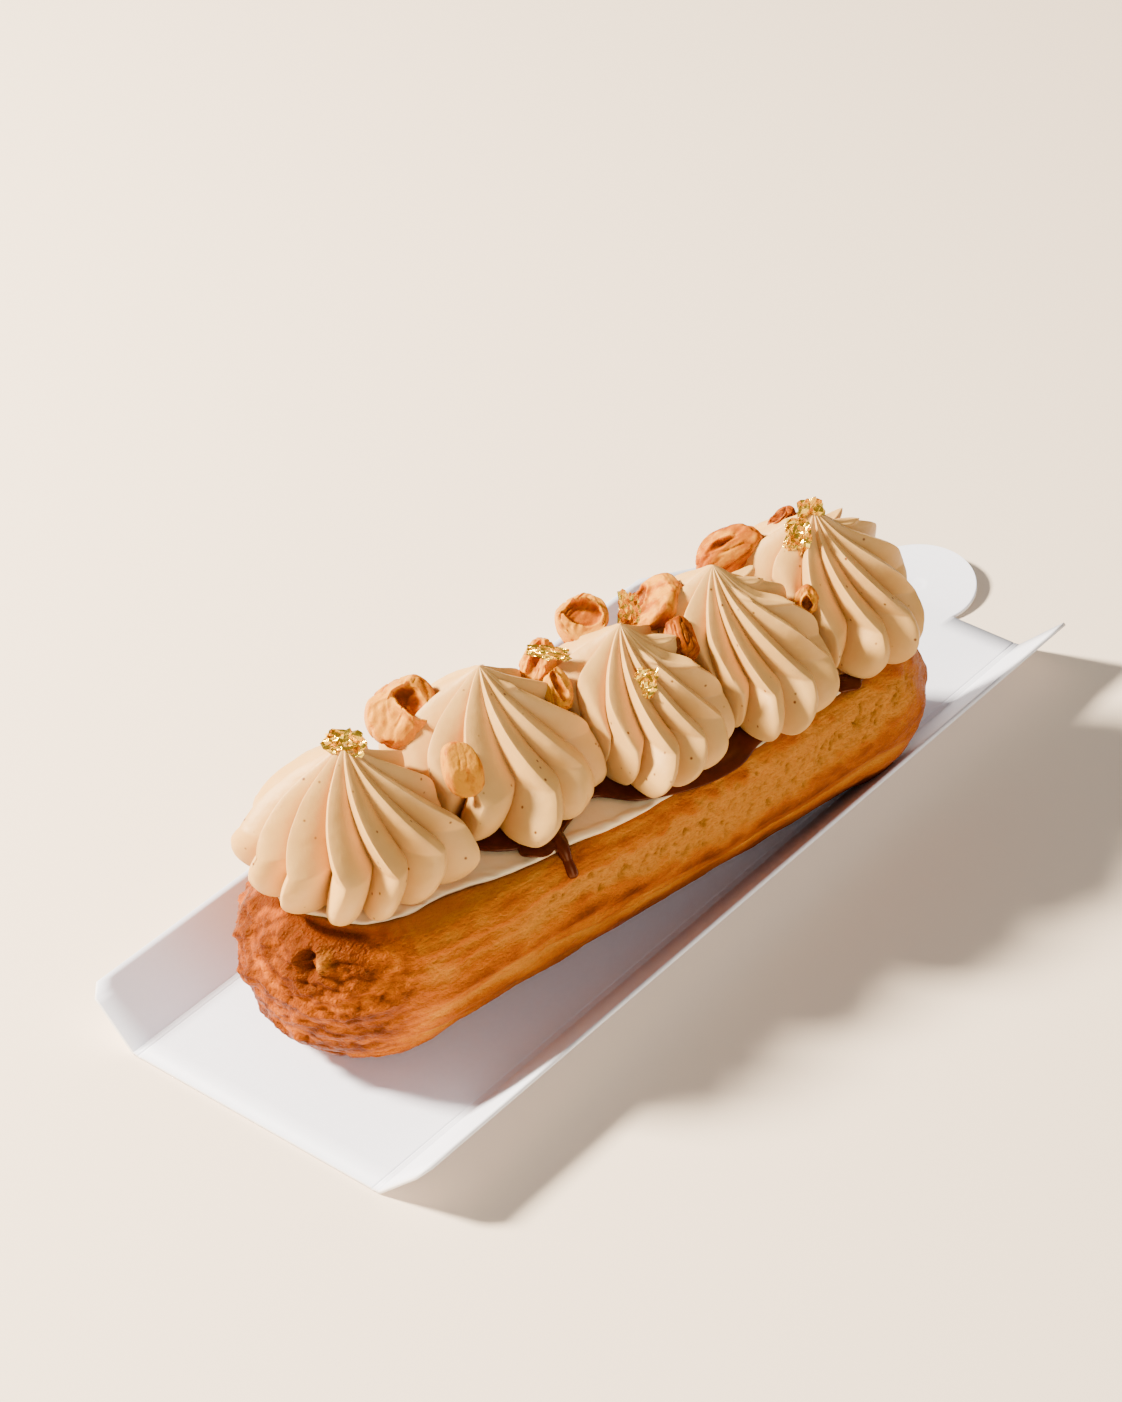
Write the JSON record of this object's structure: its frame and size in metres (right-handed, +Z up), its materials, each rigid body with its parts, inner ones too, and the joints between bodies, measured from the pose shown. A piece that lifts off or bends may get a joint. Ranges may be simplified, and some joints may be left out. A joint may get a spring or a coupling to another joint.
{
  "type": "filled eclair with piped cream rosettes",
  "caption": "Hazelnut praline eclair: a hollowed choux bun with cream filling, a row of piped rosettes, toasted hazelnuts and gold leaf, in a folded card tray.",
  "frame": {"origin": "on the flat underside of the card tray, below the middle of the eclair", "axes": "+X along the eclair from its plain end to the end at the tray's tab, +Z up; the tray is turned 9.7 degrees about +Z from the eclair"},
  "size_m": [0.198, 0.0919, 0.0556],
  "materials": {
    "choux_crust": "baked crust, golden brown, half gloss on the ridges",
    "filling_cream": "smooth vanilla cream, soft sheen",
    "praline_sauce": "glossy dark caramel",
    "rosette_cream": "whipped praline cream, satin, with fine brown specks",
    "toasted_hazelnut": "toasted kernel, slightly oily, with brown skin left on in places",
    "gold_leaf": "crumpled gold foil",
    "white_card": "smooth white coated card, dull"
  },
  "bodies": {
    "root": {"card_tray": "white_card", "choux_bun": "choux_crust", "cream_filling": "filling_cream", "praline_layer": "praline_sauce", "rosette_1": "rosette_cream", "rosette_2": "rosette_cream", "rosette_3": "rosette_cream", "rosette_4": "rosette_cream", "rosette_5": "rosette_cream", "hazelnut_whole_1": "toasted_hazelnut", "hazelnut_half_2": "toasted_hazelnut", "hazelnut_piece_3": "toasted_hazelnut", "hazelnut_piece_4": "toasted_hazelnut", "hazelnut_cup_5": "toasted_hazelnut", "hazelnut_piece_6": "toasted_hazelnut", "hazelnut_half_7": "toasted_hazelnut", "hazelnut_whole_8": "toasted_hazelnut", "hazelnut_piece_9": "toasted_hazelnut", "hazelnut_piece_10": "toasted_hazelnut"}
  },
  "joints": []
}
